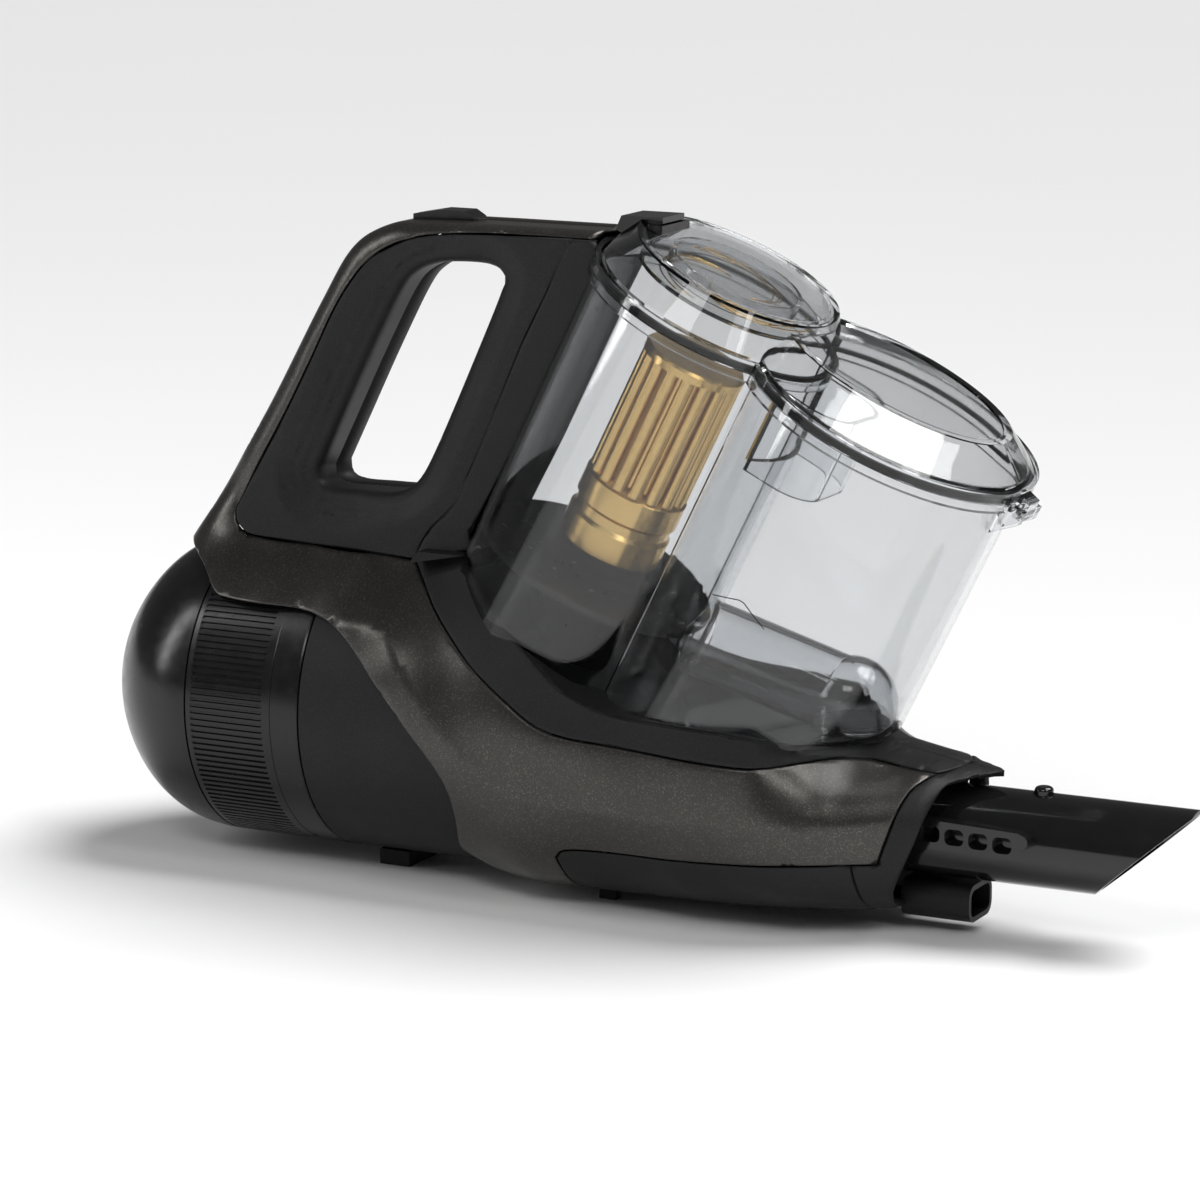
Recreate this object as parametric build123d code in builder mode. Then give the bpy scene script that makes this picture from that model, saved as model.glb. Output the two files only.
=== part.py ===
from build123d import *
from math import cos, radians, sin
import os

os.makedirs("parts", exist_ok=True)

# Handheld vacuum, millimetres. +X points forward to the nozzle, +Z up; the machine
# is symmetric about the XZ plane and stands with its feet on z = 0.

# ---- driving dimensions ----
wall = 2.5                    # moulded shells
gap = 0.6                     # clearance between the bucket and its cradle

motor_z = 64.3                # height of the motor axis
motor_r = 59.3                # round motor housing
saddle_r = 62.3               # graphite shell lying over the housing
dome_depth = 54.0             # rear cap, from its seam
dome_x = -167.0               # seam between cap and vent collar
band_x = -129.0               # ribs end, smooth band starts
collar_x = -116.0             # seam between collar and housing

handle_half = 19.5            # half thickness of the handle
hull_half = 61.5              # half width of the lower body

tilt = 26.5                   # the bucket leans forward from the vertical
bin_foot = (33, 0, 53)        # a point on the bin's axis
cyclone_u = -77.5             # cyclone axis, behind the bin's axis
bin_r = 54.0
cyclone_r = 48.5
bucket_wall_t = 2.2
pin_r = 1.05                  # lid hinge pin
seam_h = 150.0                # seam between bucket and lid, along the axis
bin_top_h = 165.4
cap_top_h = 168.4

tube_z = 37.6                 # height of the inlet tube's axis
tube_r = 17.4
tube_wall = 2.0
tip_x = 221.0
inlet_x = 86.0                # where the inlet rises into the bin

# ---- planes ----
lean_x = (cos(radians(tilt)), 0, -sin(radians(tilt)))
lean_z = (sin(radians(tilt)), 0, cos(radians(tilt)))
bucket_plane = Plane(origin=bin_foot, x_dir=lean_x, z_dir=lean_z)
bucket_side = Plane(origin=bin_foot, x_dir=lean_x, z_dir=(0, -1, 0))
cyclone_plane = Plane(origin=bucket_plane.from_local_coords((cyclone_u, 0, 0)), x_dir=lean_x, z_dir=lean_z)
cyclone_axis = Axis(cyclone_plane.origin, lean_z)
motor_axis = Axis((0, 0, motor_z), (1, 0, 0))

# ---- side outlines, as (x, z) ----
strip_seam = [(-167, 135), (-145, 173), (-122, 216), (-105, 237), (-88, 245), (-60, 247.5)]
strip_end = (-10, 248)
column_seam = [(-22, 248), (-30, 229), (-41, 208), (-64, 157), (-80, 135), (-85, 123)]
lip_top = [(-61, 128), (-46, 115), (-32, 105), (-18, 95), (-8, 87), (5, 82), (40, 79), (83, 77), (102, 74)]
lip_seam = [(-82, 124), (-64, 106), (-44, 91), (-28, 81), (-14, 72.5), (0, 70.3), (60, 67), (88, 67.5), (108, 66)]
saddle_edge = [(-200, 119), (-172, 113), (-158, 106), (-118, 104.5), (-100, 97), (-68, 66), (-54, 47.5),
               (-52.5, 31), (-57, 14)]
pan_seam = [(-9, 0), (-9, 24), (-5, 27), (82, 30), (113, 30.5)]
bezel_seam = [(113, 30.5), (117.5, 45), (122.4, 60), (126, 80)]
screw_places = [(-166, 146), (-139, 193), (-108, 239.5)]
bucket_floor = [(112, 70.6), (6, 70.6), (-12, 77), (-26, 88), (-46, 110), (-58, 122)]


def prism(points, low, high):
    """The side outline through these points, filled from y = low to y = high."""
    with BuildPart() as solid:
        with BuildSketch(Plane.XZ.offset(-high)):
            with BuildLine():
                Polyline(*points, close=True)
            make_face()
        extrude(amount=high - low)
    return solid.part


def peanut(bin_radius, cyclone_radius, low, high):
    """A prism along the bucket's axis with the plan of the bin and the cyclone joined."""
    with BuildPart() as solid:
        with BuildSketch(bucket_plane.offset(low)):
            Circle(bin_radius)
            with Locations((cyclone_u, 0)):
                Circle(cyclone_radius)
        extrude(amount=high - low)
    return solid.part


def cylinder_x(radius, low, high, z=motor_z):
    """A round bar along X."""
    with BuildPart() as solid:
        with BuildSketch(Plane.YZ.offset(low)):
            with Locations((0, z)):
                Circle(radius)
        extrude(amount=high - low)
    return solid.part


def round_bar(plane, radius, length):
    """A round bar standing on a plane."""
    with BuildPart() as solid:
        with BuildSketch(plane):
            Circle(radius)
        extrude(amount=length)
    return solid.part


def tube_x(radius, inner, low, high, z=motor_z):
    """A round pipe along X."""
    with BuildPart() as solid:
        with BuildSketch(Plane.YZ.offset(low)):
            with Locations((0, z)):
                Circle(radius)
                Circle(inner, mode=Mode.SUBTRACT)
        extrude(amount=high - low)
    return solid.part


def largest(shape):
    """The biggest solid of a shape, without the slivers a cut leaves."""
    return Part() + shape.solids().sort_by(SortBy.VOLUME)[-1]


def save(piece, label):
    """Label a finished solid and write its STEP file."""
    piece.label = label
    export_step(piece, f"parts/{label}.step")


# ---- outer and inner bodies that the thin shells are cut from ----
def lower_hull(inset):
    """The lower body: its plan, side and front outlines, all moved in by inset."""
    with BuildPart() as hull:
        with BuildSketch(Plane.XY) as plan:
            with BuildLine():
                Polyline((-110, -hull_half), (72, -hull_half), (118, -38), (131, -27), (141, -14), (147, 0),
                         (141, 14), (131, 27), (118, 38), (72, hull_half), (-110, hull_half), close=True)
            make_face()
            fillet(plan.vertices().filter_by_position(Axis.X, 60, 80), 45)
            offset(amount=-inset)
        extrude(amount=150)
        with BuildSketch(Plane.XZ) as side:
            with BuildLine():
                Polyline((-95, 60), (-95, 100), (-80, 128), *lip_top, (108, 69), (135, 63), (147, 61),
                         (131, 57), (127, 45), (118, 24), (113.5, 9), (80, 7.5), (42, 6), (-28, 5),
                         (-45, 8), (-60, 14), close=True)
            make_face()
            offset(amount=-inset)
        extrude(amount=100, both=True, mode=Mode.INTERSECT)
        with BuildSketch(Plane.YZ) as front:
            with BuildLine():
                Polyline((-24, 136), (-57, 95), (-hull_half, 72), (-hull_half, 36), (-47, 8), (-30, 4),
                         (30, 4), (47, 8), (hull_half, 36), (hull_half, 72), (57, 95), (24, 136), close=True)
            make_face()
            fillet(front.vertices().filter_by_position(Axis.Y, 5, 100), 14)
            offset(amount=-inset)
        extrude(amount=250, both=True, mode=Mode.INTERSECT)
    return hull.part


def handle_body(inset):
    """The D-shaped handle with its finger hole and the column behind the bucket."""
    with BuildPart() as body:
        with BuildSketch(Plane.XZ) as side:
            with BuildLine():
                Polyline((-190, 121), (-113, 251), (-8, 251), (-14, 234), (-64, 132), (-64, 100), (-150, 100),
                         close=True)
            make_face()
            fillet(side.vertices().filter_by_position(Axis.X, -120, -110), 55)
            offset(amount=-inset)
        extrude(amount=handle_half - inset, both=True)
        with BuildSketch(Plane.XZ) as hole:
            with BuildLine():
                Polyline((-128, 146), (-88, 146), (-51, 235), (-90, 235), close=True)
            make_face()
            fillet(hole.vertices(), 11)
            offset(amount=inset)
        extrude(amount=handle_half, both=True, mode=Mode.SUBTRACT)
    return body.part


far = 75
hull_outer = lower_hull(0)
hull_inner = lower_hull(wall)
handle_outer = handle_body(0)
handle_inner = handle_body(wall)
bucket_space = peanut(bin_r + gap, cyclone_r + gap, -20, 240)
bucket_above = prism(bucket_floor + [(-110, 122), (-110, 320), (230, 320)], -far, far)
bucket_above = Pos(0, 0, -gap) * bucket_above
flange_space = peanut(bin_r + 4, cyclone_r + 3.2, seam_h - 4.6, 260)
bucket_room = (bucket_space & bucket_above) + flange_space
rear_room = cylinder_x(motor_r + gap, -230, -50)

# ---- graphite shells ----
graphite_area = ([(-215, 119), (-150, 262), (-10, 262), strip_end] + column_seam[:1] + strip_seam[::-1]
                 + [(-160, 126.5), (-85, 123)] + lip_seam + bezel_seam[::-1] + pan_seam[-2::-1] + [(-57, 0)]
                 + saddle_edge[::-1])
skin = (hull_outer + handle_outer + cylinder_x(saddle_r, -189, -50)) - hull_inner - handle_inner - rear_room
power_slot = Pos(-82, 0, 250) * Box(27, 11, 12)
with BuildPart() as screws:
    with BuildSketch(Plane.XZ.offset(16.5)):
        with Locations(*screw_places):
            Circle(2.6)
    extrude(amount=2)
    with BuildSketch(Plane.XZ.offset(-15)):
        with Locations(*screw_places):
            Circle(1.4)
    extrude(amount=31.5)
save(screws.part, "handle_screws")
for label, low, high in (("right_graphite_shell", -far, 0), ("left_graphite_shell", 0, far)):
    shell = (skin & prism(graphite_area, low, high)) - bucket_room - power_slot - screws.part
    save(largest(shell), label)

# ---- dark handle panels and column covers ----
panel_area = strip_seam + column_seam + [(-160, 126.5)]
column_area = [(2, 248), (30, 200), (-30, 110), (-82, 124)] + column_seam[::-1]
for side, low, high in (("right", -far, 0), ("left", 0, far)):
    panel = skin & prism(panel_area, low, high)
    save(largest(panel), f"{side}_handle_panel")
    cover = (skin & prism(column_area, low, high)) - bucket_room - prism(lip_seam + lip_top[::-1], low, high)
    save(largest(cover), f"{side}_column_cover")

# ---- cradle under the bucket, with the holes for the inlet and the outlet ----
outlet_plane = cyclone_plane.offset(8)
with BuildPart() as outlet_bore:
    with BuildSketch(outlet_plane.offset(-30)):
        Circle(17)
    extrude(amount=40)
with BuildPart() as inlet_bore:
    with BuildSketch(Plane.XY.offset(50)):
        with Locations((inlet_x, 0)):
            Circle(15.5)
    extrude(amount=21)
cradle = hull_outer & prism(lip_seam + [(108, 69), (104, 74)] + lip_top[::-1], -far, far)
cradle = cradle - bucket_room - outlet_bore.part - inlet_bore.part
save(largest(cradle), "bucket_cradle")

# ---- base pan with two front feet, and a rubber pad under the motor ----
pan = largest((hull_outer - hull_inner) & prism(pan_seam + [(113, 0)], -far, far))
feet = Pos(-4, 20, 3.5) * Box(7, 4, 7) + Pos(-4, -20, 3.5) * Box(7, 4, 7)
connector_slot = Pos(125, 0, 12) * Box(40, 22.4, 14.4)
save(pan - feet - connector_slot, "base_pan")
save(feet, "front_feet")

# ---- front bezel, open round the inlet tube ----
with BuildPart() as bezel_opening:
    with BuildSketch(Plane.YZ.offset(106)):
        with Locations((0, 37)):
            Ellipse(25, 22.5)
    extrude(amount=60)
bezel_area = bezel_seam + [(170, 80), (170, 0), (113, 0)]
front_bezel = (hull_outer - hull_inner) & prism(bezel_area, -far, far)
save(largest(front_bezel - bezel_opening.part - connector_slot), "front_bezel")
with BuildPart() as tube_socket:
    with BuildSketch(Plane.YZ.offset(106)):
        with Locations((0, 37)):
            Ellipse(25, 22.5)
        with Locations((0, tube_z)):
            Circle(tube_r, mode=Mode.SUBTRACT)
    extrude(amount=5)
save(tube_socket.part, "tube_socket")

# ---- round motor housing with a bulkhead ----
with BuildPart() as housing:
    with BuildSketch(Plane.XZ):
        with BuildLine():
            Polyline((collar_x, motor_z + 47), (collar_x, motor_z + motor_r), (-50, motor_z + motor_r),
                     (-50, motor_z + motor_r - 3), (collar_x + 4, motor_z + motor_r - 3),
                     (collar_x + 4, motor_z + 47), close=True)
        make_face()
    revolve(axis=motor_axis)
motor_housing = housing.part - prism(graphite_area, -far, far)
save(largest(motor_housing), "motor_housing")
with BuildPart() as pad:
    with Locations((-100, 0, 3)):
        Box(13, 30, 6)
rear_pad = pad.part - cylinder_x(motor_r, -120, -80)
save(rear_pad, "rear_foot_pad")

# ---- rear cover: cap, ribbed vent collar and the exhaust filter inside it ----
with BuildPart() as rear_dome:
    with BuildSketch(Plane.XZ):
        with BuildLine():
            for inset in (0, wall):
                Spline((dome_x, motor_z + motor_r - inset),
                       (dome_x - 0.707 * (dome_depth - inset), motor_z + 0.707 * (motor_r - inset)),
                       (dome_x - dome_depth + inset, motor_z), tangents=((-1, 0), (0, -1)))
            Line((dome_x, motor_z + motor_r), (dome_x, motor_z + motor_r - wall))
            Line((dome_x - dome_depth, motor_z), (dome_x - dome_depth + wall, motor_z))
        make_face()
    revolve(axis=motor_axis)
save(rear_dome.part, "rear_dome")
rib_count = 60
with BuildPart() as vent_collar:
    with BuildSketch(Plane.YZ.offset(dome_x)):
        with Locations((0, motor_z)):
            Circle(motor_r)
            Circle(motor_r - 3, mode=Mode.SUBTRACT)
    extrude(amount=collar_x - gap - dome_x)
    with BuildSketch(Plane.YZ.offset(dome_x + 3)) as grooves:
        with Locations((0, motor_z)):
            with PolarLocations(motor_r, rib_count):
                Rectangle(2.4, 1.8)
    extrude(amount=band_x - dome_x - 5, mode=Mode.SUBTRACT)
save(vent_collar.part, "vent_collar")
pleats = 36
with BuildPart() as exhaust_filter:
    with BuildSketch(Plane.YZ.offset(-163)):
        with Locations((0, motor_z)):
            Circle(54)
            Circle(44, mode=Mode.SUBTRACT)
            with PolarLocations(54, pleats):
                Rectangle(10, 2.4, mode=Mode.SUBTRACT)
    extrude(amount=32)
    with BuildSketch(Plane.YZ.offset(-131), Plane.YZ.offset(-166)):
        with Locations((0, motor_z)):
            Circle(55)
            Circle(43, mode=Mode.SUBTRACT)
    extrude(amount=3)
save(exhaust_filter.part, "exhaust_filter")

# ---- motor and fan ----
save(tube_x(27, 25, -152, -104) + (tube_x(25, 9.5, -152, -150)), "motor_can")
with BuildPart() as stator:
    with BuildSketch(Plane.YZ.offset(-141)):
        with Locations((0, motor_z)):
            Circle(24.5)
            Circle(20, mode=Mode.SUBTRACT)
            with PolarLocations(16.5, 6):
                Rectangle(9, 5)
            with PolarLocations(13.2, 6):
                Rectangle(2.5, 9)
    extrude(amount=24)
save(stator.part, "stator_core")
with BuildPart() as windings:
    with BuildSketch(Plane.YZ.offset(-144)):
        with Locations((0, motor_z)):
            with PolarLocations(17.2, 6):
                Rectangle(5, 10)
    extrude(amount=30)
save(windings.part - stator.part, "stator_windings")
with BuildPart() as bearings:
    for low in (-150, -110):
        with BuildSketch(Plane.YZ.offset(low)):
            with Locations((0, motor_z)):
                Circle(9.5)
                Circle(3.05, mode=Mode.SUBTRACT)
        extrude(amount=5)
save(bearings.part, "motor_bearings")
save(tube_x(24.9, 9.5, -110, -104), "front_bearing_bridge")
save(cylinder_x(3, -151, -80), "rotor_shaft")
save(tube_x(11, 3, -141, -117), "rotor_magnet")
with BuildPart() as impeller:
    with BuildSketch(Plane.XZ):
        with BuildLine():
            Polyline((-97, motor_z + 3), (-97, motor_z + 38), (-95.5, motor_z + 38), (-90, motor_z + 14),
                     (-82, motor_z + 7), (-82, motor_z + 3), close=True)
        make_face()
    revolve(axis=motor_axis)
    with BuildSketch(Plane.YZ.offset(-96)):
        with Locations((0, motor_z)):
            with PolarLocations(23, 9):
                Rectangle(30, 1.4, rotation=35)
    extrude(amount=9)
save(impeller.part & cylinder_x(38, -98, -80), "impeller")
with BuildPart() as shroud:
    with BuildSketch(Plane.XZ):
        with BuildLine():
            Polyline((-103, motor_z + 41), (-103, motor_z + 43), (-85, motor_z + 43), (-77, motor_z + 18),
                     (-70, motor_z + 18), (-70, motor_z + 16), (-79, motor_z + 16), (-86.5, motor_z + 41), close=True)
        make_face()
    revolve(axis=motor_axis)
save(shroud.part, "fan_shroud")
with BuildPart() as diffuser:
    with BuildSketch(Plane.YZ.offset(-102)):
        with Locations((0, motor_z)):
            Circle(40.8)
            Circle(27.2, mode=Mode.SUBTRACT)
    extrude(amount=2)
    with BuildSketch(Plane.YZ.offset(-104)):
        with Locations((0, motor_z)):
            with PolarLocations(34, 13):
                Rectangle(13, 1.2, rotation=40)
    extrude(amount=2)
save(diffuser.part, "diffuser")
save(tube_x(47, 43, -114, -100) + tube_x(46.8, 40, -116, -114), "front_motor_mount")

# ---- inlet tube, slanted nozzle tip, side frames, catch ----
tip_cut = prism([(tip_x, 60), (tip_x, 53.5), (181, 18), (181, 10), (260, 10), (260, 60)], -40, 40)
save(tube_x(tube_r, tube_r - tube_wall, 100, 172, tube_z) - Pos(162, 0, 55) * Cylinder(3.8, 12), "inlet_tube")
tip = tube_x(tube_r, tube_r - tube_wall, 172, tip_x, tube_z) - tip_cut
save(tip, "nozzle_tip")
with BuildPart() as catch:
    with BuildSketch(Plane.XY.offset(51)):
        with Locations((162, 0)):
            Circle(3.5)
    extrude(amount=6.5)
    fillet(catch.faces().sort_by(Axis.Z)[-1].edges(), 1.5)
    with BuildSketch(Plane.XY.offset(50)):
        with Locations((162, 0)):
            Circle(4.6)
    extrude(amount=1)
save(catch.part, "tube_catch")
with BuildPart() as leaf:
    with Locations((154, 0, 49.3)):
        Box(22, 6, 0.8)
    with Locations((145, 0, 50.8)):
        Box(4, 6, 2.4)
save(leaf.part - tube_x(30, tube_r - tube_wall, 100, 180, tube_z), "tube_catch_spring")
for side, y in (("right", -1), ("left", 1)):
    with BuildPart() as frame:
        with BuildSketch(Plane.XZ.offset(-y * 19.5)) as outline:
            with BuildLine():
                Polyline((111.5, 35.5), (157, 34.5), (167, 42), (161, 44.8), (111.5, 46.5), close=True)
            make_face()
            fillet(outline.vertices().filter_by_position(Axis.X, 150, 180), 2.5)
            with Locations(*[(127 + 9.3 * step, 40.8 - 0.4 * step) for step in range(4)]):
                RectangleRounded(7.4, 6, 2.2, mode=Mode.SUBTRACT)
        extrude(amount=3, both=True)
    window = frame.part - cylinder_x(tube_r, 100, 180, tube_z)
    save(largest(window), f"{side}_window_frame")
with BuildPart() as connector:
    with BuildSketch(Plane.YZ.offset(111)) as section:
        with Locations((0, 12)):
            RectangleRounded(22, 14, 5)
    extrude(amount=27)
    with BuildSketch(Plane.YZ.offset(114)):
        with Locations((0, 12)):
            RectangleRounded(18, 10, 3)
    extrude(amount=24, mode=Mode.SUBTRACT)
save(connector.part, "connector_housing")
with BuildPart() as pins:
    with BuildSketch(Plane.YZ.offset(114)):
        with Locations((-5, 12), (0, 12), (5, 12)):
            Circle(1)
    extrude(amount=16)
save(pins.part, "connector_pins")

# ---- clear bucket ----
room_outer = peanut(bin_r, cyclone_r, -20, seam_h - 0.6)
above_floor = prism(bucket_floor + [(-110, 122), (-110, 320), (230, 320)], -far, far)
with BuildPart() as bucket_core:
    with BuildSketch(bucket_plane.offset(-20)):
        Circle(bin_r - bucket_wall_t)
        with Locations((cyclone_u, 0)):
            Circle(cyclone_r, mode=Mode.SUBTRACT)
            Circle(cyclone_r - bucket_wall_t)
    extrude(amount=seam_h + 40)
core = bucket_core.part & (Pos(0, 0, bucket_wall_t) * above_floor)
with BuildPart() as dust_window:
    with BuildSketch(bucket_plane.offset(116)):
        with Locations((-36, 0)):
            Rectangle(24, 44)
    extrude(amount=31)
flange_ring = peanut(bin_r + 3.4, cyclone_r + 2.4, seam_h - 4, seam_h - 0.6)
bucket = (room_outer & above_floor) + flange_ring - core - dust_window.part
bucket = bucket - outlet_bore.part - Pos(inlet_x, 0, 70) * Cylinder(14, 12)
cyclone_inlet_end = bucket_plane.from_local_coords((-30, 0, 38))
duct_start = Vector(inlet_x, 0, 82)
duct_run = Vector(tuple(cyclone_inlet_end)) - duct_start
duct_plane = Plane(origin=duct_start, x_dir=(0, 1, 0), z_dir=duct_run)


def inlet_solid(radius):
    """The upright chamber over the inlet flap joined to the slanted duct."""
    with BuildPart() as solid:
        with BuildSketch(Plane.XY.offset(73)):
            with Locations((inlet_x, 0)):
                Circle(radius + 1.5)
        extrude(amount=9)
        with Locations(duct_start):
            Sphere(radius + 1.5)
        with BuildSketch(duct_plane):
            Circle(radius)
        extrude(amount=duct_run.length)
    return solid.part


cyclone_rod = round_bar(cyclone_plane.offset(-40), cyclone_r, 240)
with BuildPart() as duct_floor:
    with BuildSketch(Plane.XY.offset(71)):
        with Locations((inlet_x, 0)):
            Circle(15)
    extrude(amount=10)
duct_tube = inlet_solid(15) - inlet_solid(13.4) - duct_floor.part - cyclone_rod
duct_tube = duct_tube & (Pos(0, 0, bucket_wall_t + 0.1) * above_floor)
with BuildPart() as cyclone_port:
    with BuildSketch(duct_plane.offset(duct_run.length - 16)):
        Circle(13.2)
    extrude(amount=26)
bucket = bucket - cyclone_port.part
with BuildPart() as hinge_ears:
    with BuildSketch(bucket_side) as ear:
        with BuildLine():
            Polyline((bin_r, seam_h - 14), (bin_r, seam_h - 1), (62.5, seam_h - 1), (62.5, seam_h - 6), close=True)
        make_face()
    extrude(amount=9, both=True)
ears = hinge_ears.part - prism([(0, 0), (0, 300), (300, 300), (300, 0)], -5, 5)
hinge_pin_plane = Plane(origin=bucket_plane.from_local_coords((60, -9, seam_h - 3.2)), z_dir=(0, 1, 0))
lid_pin = round_bar(hinge_pin_plane, pin_r, 18)
save(largest(duct_tube - bucket), "inlet_duct")
bucket = largest(bucket) + (ears - bucket_core.part) - lid_pin
save(largest(bucket), "bucket")
save(lid_pin, "lid_hinge_pin")

# ---- vortex finder and the black outlet duct beneath it ----
flute_count = 16
with BuildPart() as finder:
    with BuildSketch(bucket_side):
        with BuildLine():
            axis_u = cyclone_u
            Polyline((axis_u + 14, 48), (axis_u + 18.6, 48), (axis_u + 20.3, 50), (axis_u + 20.3, 60),
                     (axis_u + 19, 61.5), (axis_u + 19, 65), (axis_u + 20.3, 66.5), (axis_u + 20.3, 76),
                     (axis_u + 15.6, 79), (axis_u + 15.6, 127.5), (axis_u + 20, 127.5), (axis_u + 20, 130.3),
                     (axis_u + 19, 131.3), (axis_u, 131.3), (axis_u, 129), (axis_u + 13.4, 129),
                     (axis_u + 13.4, 60), close=True)
        make_face()
    revolve(axis=cyclone_axis)
    with BuildSketch(cyclone_plane.offset(77)):
        with PolarLocations(17, flute_count):
            Circle(2.7)
    extrude(amount=51)
save(finder.part, "vortex_finder")
with BuildPart() as outlet:
    with BuildSketch(cyclone_plane.offset(2)):
        Circle(19)
        Circle(16.8, mode=Mode.SUBTRACT)
    extrude(amount=45.5)
    with BuildSketch(cyclone_plane.offset(38)):
        Circle(cyclone_r - bucket_wall_t - 0.3)
        Circle(17, mode=Mode.SUBTRACT)
    extrude(amount=2.5)
    with BuildSketch(cyclone_plane.offset(42)):
        Circle(24)
        Circle(17, mode=Mode.SUBTRACT)
    extrude(amount=3)
outlet_duct = (outlet.part & (Pos(0, 0, bucket_wall_t + 0.1) * above_floor)) - inlet_solid(15.2)
save(largest(outlet_duct), "outlet_duct")
with BuildPart() as chute:
    with BuildSketch(bucket_plane.offset(112)) as chute_plan:
        with Locations((-30, 0)):
            RectangleRounded(44, 46, 14)
        offset(amount=-2, mode=Mode.SUBTRACT)
    extrude(amount=35)
save(largest(chute.part - cyclone_rod), "dust_chute")

# ---- clear two-level lid, with its gasket, swirl disc and rear release button ----
def lid_body(inset):
    """The lid's flange, the bin's domed cover and the taller cyclone cap."""
    with BuildPart() as body:
        with BuildSketch(bucket_plane.offset(seam_h)):
            Circle(bin_r + 3.4 - (3 if inset else 0) - inset)
            with Locations((cyclone_u, 0)):
                Circle(cyclone_r + 2.4 - (2 if inset else 0) - inset)
        extrude(amount=4)
        with BuildSketch(bucket_plane.offset(seam_h + 4)):
            Circle(bin_r + 1.5 - inset)
        with BuildSketch(bucket_plane.offset(bin_top_h - inset)):
            with Locations((-4, 0)):
                Ellipse(46.5 - inset, 37 - inset)
        loft()
        with BuildSketch(cyclone_plane.offset(seam_h + 4)):
            Circle(cyclone_r + 0.4 - inset)
        with BuildSketch(cyclone_plane.offset(cap_top_h - inset)):
            Circle(40.5 - inset)
        loft()
    return body.part


lid_outer = lid_body(0)
lid = lid_outer - lid_body(bucket_wall_t)
with BuildPart() as bin_recess:
    with BuildSketch(bucket_plane.offset(bin_top_h - 1)):
        with Locations((-4, 0)):
            Ellipse(43, 33.5)
    extrude(amount=1)
cap_zone = round_bar(cyclone_plane.offset(seam_h), 41, 40)
lid = lid - (bin_recess.part - cap_zone) - round_bar(cyclone_plane.offset(cap_top_h - 1), 37, 4)
with BuildPart() as knuckle:
    with BuildSketch(bucket_side) as knuckle_plan:
        with BuildLine():
            Polyline((bin_r, seam_h + 0.2), (bin_r, seam_h + 4), (62, seam_h + 2), (62.2, seam_h - 5.2),
                     (58.8, seam_h - 5.2), (58.8, seam_h + 0.2), close=True)
        make_face()
    extrude(amount=4.6, both=True)
lid = lid + (knuckle.part - lid_body(bucket_wall_t)) - round_bar(hinge_pin_plane, pin_r + 0.05, 18)
button_side = [(-7.4, 251.6), (-5, 256.8), (12, 256.8), (12, 254.6), (-2, 249)]
housing_side = [(-12, 247), (-9, 251), (-6, 254), (13, 254), (13, 251), (-2, 243)]
latch_block = prism(housing_side, -11.5, 11.5) & (lid_outer + cap_zone)
button_solid = prism(button_side, -9, 9)
button_path = prism([(-7.8, 251.4), (-5, 257.2), (12.4, 257.2), (11.6, 252), (-3, 245.6), (-9.6, 248)], -9.3, 9.3)
save(button_solid, "release_button")
latch_housing = latch_block - button_path
save(largest(lid - latch_block - button_path), "lid")
with BuildPart() as gasket:
    with BuildSketch(bucket_plane.offset(seam_h - 0.25)):
        Circle(bin_r - 1.9)
        Circle(bin_r - 3.6, mode=Mode.SUBTRACT)
    with BuildSketch(cyclone_plane.offset(seam_h - 0.25)):
        Circle(cyclone_r - 1.9)
        Circle(cyclone_r - 3.6, mode=Mode.SUBTRACT)
    extrude(amount=1.5)
with BuildPart() as swirl:
    with BuildSketch(cyclone_plane.offset(159)):
        Circle(35)
    extrude(amount=1.5)
    with BuildSketch(cyclone_plane.offset(160)):
        Circle(26)
        Circle(24.5, mode=Mode.SUBTRACT)
    extrude(amount=cap_top_h - bucket_wall_t - 160)
save(swirl.part, "swirl_disc")
save(largest(latch_housing - swirl.part), "latch_housing")
save(gasket.part - lid, "lid_gasket")

# ---- inlet flap in the bucket, and the ducts and seals in the body ----
with BuildPart() as flap:
    with BuildSketch(Plane.XY.offset(73.6)):
        with Locations((inlet_x, 0)):
            Circle(13.6)
    extrude(amount=1.4)
    with BuildSketch(Plane.XZ.offset(0)):
        with Locations((inlet_x - 13.2, 74.6)):
            Circle(1)
    extrude(amount=4, both=True)
save(flap.part, "inlet_flap")
with BuildPart() as elbow:
    with BuildLine() as elbow_path:
        FilletPolyline((106, 0, tube_z), (inlet_x, 0, tube_z), (inlet_x, 0, 66.2), radius=19)
    with BuildSketch(Plane.YZ.offset(106)):
        with Locations((0, tube_z)):
            Circle(16.6)
            Circle(14.8, mode=Mode.SUBTRACT)
    sweep(path=elbow_path.line)
save(elbow.part - cylinder_x(tube_r, 99.8, 120, tube_z), "inlet_elbow")
with BuildPart() as inlet_seal:
    with BuildSketch(Plane.XY.offset(68.4)):
        with Locations((inlet_x, 0)):
            Circle(15.4)
            Circle(14, mode=Mode.SUBTRACT)
    extrude(amount=1.8)
save(inlet_seal.part, "inlet_seal")
intake_start = Vector(*outlet_plane.from_local_coords((0, 0, -5)))
with BuildPart() as intake:
    with BuildLine() as intake_path:
        start = tuple(intake_start)
        corner = (start[0] - (start[2] - motor_z) * lean_z[0] / lean_z[2], 0, motor_z)
        FilletPolyline(start, corner, (-69.6, 0, motor_z), radius=24)
    with BuildSketch(Plane(origin=start, x_dir=(0, 1, 0), z_dir=(-lean_z[0], 0, -lean_z[2]))):
        Circle(16.5)
        Circle(14.5, mode=Mode.SUBTRACT)
    sweep(path=intake_path.line)
save(intake.part, "intake_duct")
with BuildPart() as outlet_seal:
    with BuildSketch(outlet_plane.offset(-4.6)):
        Circle(16.8)
        Circle(14, mode=Mode.SUBTRACT)
    extrude(amount=3)
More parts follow.
